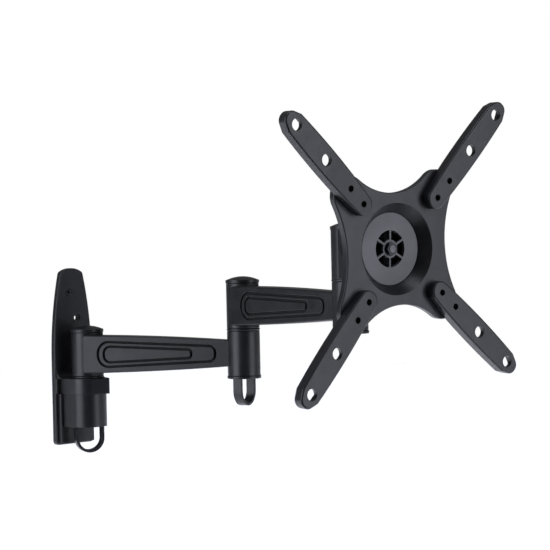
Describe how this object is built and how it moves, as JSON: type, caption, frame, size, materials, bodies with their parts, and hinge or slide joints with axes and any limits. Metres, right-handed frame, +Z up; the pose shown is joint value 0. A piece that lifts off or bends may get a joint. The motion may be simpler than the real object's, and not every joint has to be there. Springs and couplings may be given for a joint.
{
  "type": "full motion television wall mount",
  "caption": "Full motion television wall mount: wall bracket, folding arms on stacked pivots, a swivel and tilt head, and a VESA plate with extension arms.",
  "frame": {"origin": "on the back face of the wall plate, on its upright centre line, level with the middle of the first arm", "axes": "+Y out of the wall, +Z up, +X to the left of a person who faces the wall"},
  "size_m": [0.2348, 0.4063, 0.2941],
  "materials": {
    "black_powder_coat": "satin powder coat",
    "black_plastic": "fine grain, matte",
    "nylon_bush": "smooth nylon",
    "black_oxide_steel": "black oxide, satin",
    "bright_steel": "zinc plated",
    "grey_disc": "matte, lighter than the castings"
  },
  "bodies": {
    "wall_bracket": {"wall_plate": "black_powder_coat", "plate_screw": "black_oxide_steel", "lower_cover": "black_plastic", "wall_ring": "black_plastic", "wall_pin": "bright_steel", "wall_spring_washer": "bright_steel", "wall_nut": "bright_steel"},
    "wall_clip": {"wall_cable_clip": "black_plastic"},
    "first_arm": {"arm_1": "black_powder_coat", "wall_upper_bush": "nylon_bush", "wall_lower_bush": "nylon_bush", "wall_cap": "black_plastic", "elbow_ring": "black_plastic", "elbow_pin": "bright_steel", "elbow_spring_washer": "bright_steel", "elbow_nut": "bright_steel", "elbow_base_plug": "black_plastic"},
    "elbow_clip": {"elbow_cable_clip": "black_plastic"},
    "second_arm": {"arm_2": "black_powder_coat", "elbow_upper_bush": "nylon_bush", "elbow_lower_bush": "nylon_bush", "elbow_cap": "black_plastic", "head_ring": "black_plastic", "head_pin": "bright_steel", "head_spring_washer": "bright_steel", "head_nut": "bright_steel", "head_base_plug": "black_plastic"},
    "swivel": {"swivel_head": "black_powder_coat", "head_upper_bush": "nylon_bush", "head_lower_bush": "nylon_bush", "head_cap": "black_plastic", "tilt_bushes": "nylon_bush"},
    "tilter": {"tilt_fork": "black_powder_coat", "tilt_bolt": "black_oxide_steel", "tilt_nut": "black_oxide_steel", "tilt_washers": "black_oxide_steel", "centre_stud": "black_oxide_steel", "friction_ring": "black_plastic", "centre_bush": "black_plastic", "clamp_disc": "grey_disc", "centre_washer": "black_oxide_steel", "centre_nut": "black_oxide_steel"},
    "screen_plate": {"vesa_plate": "black_powder_coat", "vesa_arm_upper_right": "black_powder_coat", "vesa_arm_upper_left": "black_powder_coat", "vesa_arm_lower_left": "black_powder_coat", "vesa_arm_lower_right": "black_powder_coat", "arm_screws": "black_oxide_steel"}
  },
  "joints": [
    {"name": "wall_hinge", "type": "hinge", "parent": "wall_bracket", "child": "first_arm", "pos_m": [0, 0.025, 0], "axis": [0, 0, 1], "range_deg": [-115.5, 64.5]},
    {"name": "elbow_hinge", "type": "hinge", "parent": "first_arm", "child": "second_arm", "pos_m": [-0.06544, 0.16219, 0], "axis": [0, 0, -1], "range_deg": [-185.5, 114.5]},
    {"name": "head_swivel", "type": "hinge", "parent": "second_arm", "child": "swivel", "pos_m": [-0.03904, 0.31188, 0.084], "axis": [0, 0, 1], "range_deg": [-90, 90]},
    {"name": "head_tilt", "type": "hinge", "parent": "swivel", "child": "tilter", "pos_m": [-0.03453, 0.33749, 0.088], "axis": [-0.9848, 0.1736, 0], "range_deg": [-17.5, 12.5]},
    {"name": "plate_roll", "type": "hinge", "parent": "tilter", "child": "screen_plate", "pos_m": [-0.02759, 0.37684, 0.08625], "axis": [0.1735, 0.9839, -0.0436], "continuous": true},
    {"name": "wall_clip_turn", "type": "hinge", "parent": "wall_bracket", "child": "wall_clip", "pos_m": [0, 0.025, 0], "axis": [0, 0, 1], "continuous": true},
    {"name": "elbow_clip_turn", "type": "hinge", "parent": "first_arm", "child": "elbow_clip", "pos_m": [-0.06544, 0.16219, 0], "axis": [0, 0, 1], "continuous": true}
  ]
}
